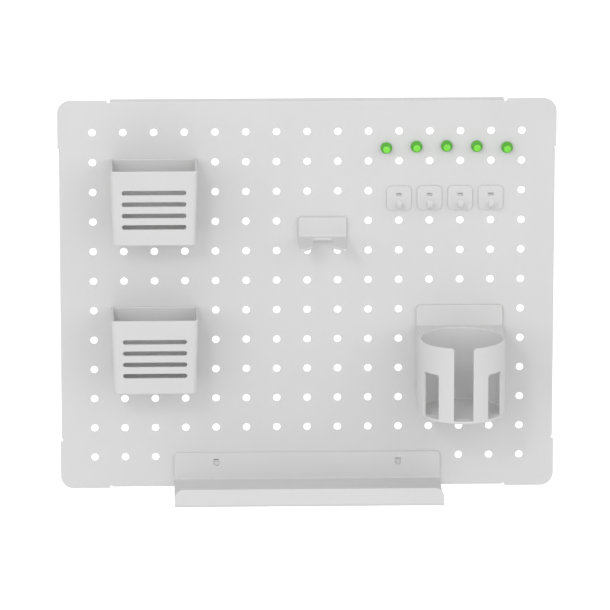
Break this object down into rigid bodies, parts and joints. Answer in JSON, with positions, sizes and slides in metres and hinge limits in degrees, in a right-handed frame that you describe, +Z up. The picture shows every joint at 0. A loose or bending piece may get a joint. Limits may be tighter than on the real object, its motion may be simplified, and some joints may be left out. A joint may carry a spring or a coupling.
{
  "type": "pegboard tool wall",
  "caption": "Flanged steel pegboard for a wall with hook-on bins, tool fork, small hooks, cup holder, shelf and magnets.",
  "frame": {"origin": "middle of the rear edge of the top flange, on the wall plane", "axes": "+X to the viewer's right along the panel's width, +Y into the wall, +Z up"},
  "size_m": [0.4132, 0.0912, 0.3339],
  "materials": {
    "powder_coated_steel": "satin white powder coat with a very fine texture",
    "white_moulding": "moulded white plastic, matte, slightly smoother on edges",
    "green_plastic": "bright green moulded plastic, glossy",
    "nickel_magnet": "nickel-plated magnet, bright"
  },
  "bodies": {
    "panel": {"panel": "powder_coated_steel"},
    "upper_bin": {"upper_bin": "white_moulding"},
    "lower_bin": {"lower_bin": "white_moulding"},
    "tool_holder": {"tool_holder": "white_moulding"},
    "small_hook_1": {"small_hook_1": "powder_coated_steel"},
    "small_hook_2": {"small_hook_2": "powder_coated_steel"},
    "small_hook_3": {"small_hook_3": "powder_coated_steel"},
    "small_hook_4": {"small_hook_4": "powder_coated_steel"},
    "cup_holder": {"cup_holder": "white_moulding"},
    "shelf": {"shelf": "powder_coated_steel"},
    "magnet_1": {"magnet_knob_1": "green_plastic", "magnet_disc_1": "nickel_magnet"},
    "magnet_2": {"magnet_knob_2": "green_plastic", "magnet_disc_2": "nickel_magnet"},
    "magnet_3": {"magnet_knob_3": "green_plastic", "magnet_disc_3": "nickel_magnet"},
    "magnet_4": {"magnet_knob_4": "green_plastic", "magnet_disc_4": "nickel_magnet"},
    "magnet_5": {"magnet_knob_5": "green_plastic", "magnet_disc_5": "nickel_magnet"}
  },
  "joints": [
    {"name": "upper_bin_lift", "type": "slide", "parent": "panel", "child": "upper_bin", "axis": [0, 0, 1], "range_m": [0, 0.003]},
    {"name": "lower_bin_lift", "type": "slide", "parent": "panel", "child": "lower_bin", "axis": [0, 0, 1], "range_m": [0, 0.003]},
    {"name": "tool_holder_lift", "type": "slide", "parent": "panel", "child": "tool_holder", "axis": [0, 0, 1], "range_m": [0, 0.003]},
    {"name": "small_hook_1_lift", "type": "slide", "parent": "panel", "child": "small_hook_1", "axis": [0, 0, 1], "range_m": [0, 0.003]},
    {"name": "small_hook_2_lift", "type": "slide", "parent": "panel", "child": "small_hook_2", "axis": [0, 0, 1], "range_m": [0, 0.003]},
    {"name": "small_hook_3_lift", "type": "slide", "parent": "panel", "child": "small_hook_3", "axis": [0, 0, 1], "range_m": [0, 0.003]},
    {"name": "small_hook_4_lift", "type": "slide", "parent": "panel", "child": "small_hook_4", "axis": [0, 0, 1], "range_m": [0, 0.003]},
    {"name": "cup_holder_lift", "type": "slide", "parent": "panel", "child": "cup_holder", "axis": [0, 0, 1], "range_m": [0, 0.003]},
    {"name": "shelf_lift", "type": "slide", "parent": "panel", "child": "shelf", "axis": [0, 0, 1], "range_m": [0, 0.003]},
    {"name": "magnet_1_pull", "type": "slide", "parent": "panel", "child": "magnet_1", "axis": [0, -1, 0], "range_m": [0, 0.025]},
    {"name": "magnet_2_pull", "type": "slide", "parent": "panel", "child": "magnet_2", "axis": [0, -1, 0], "range_m": [0, 0.025]},
    {"name": "magnet_3_pull", "type": "slide", "parent": "panel", "child": "magnet_3", "axis": [0, -1, 0], "range_m": [0, 0.025]},
    {"name": "magnet_4_pull", "type": "slide", "parent": "panel", "child": "magnet_4", "axis": [0, -1, 0], "range_m": [0, 0.025]},
    {"name": "magnet_5_pull", "type": "slide", "parent": "panel", "child": "magnet_5", "axis": [0, -1, 0], "range_m": [0, 0.025]}
  ]
}
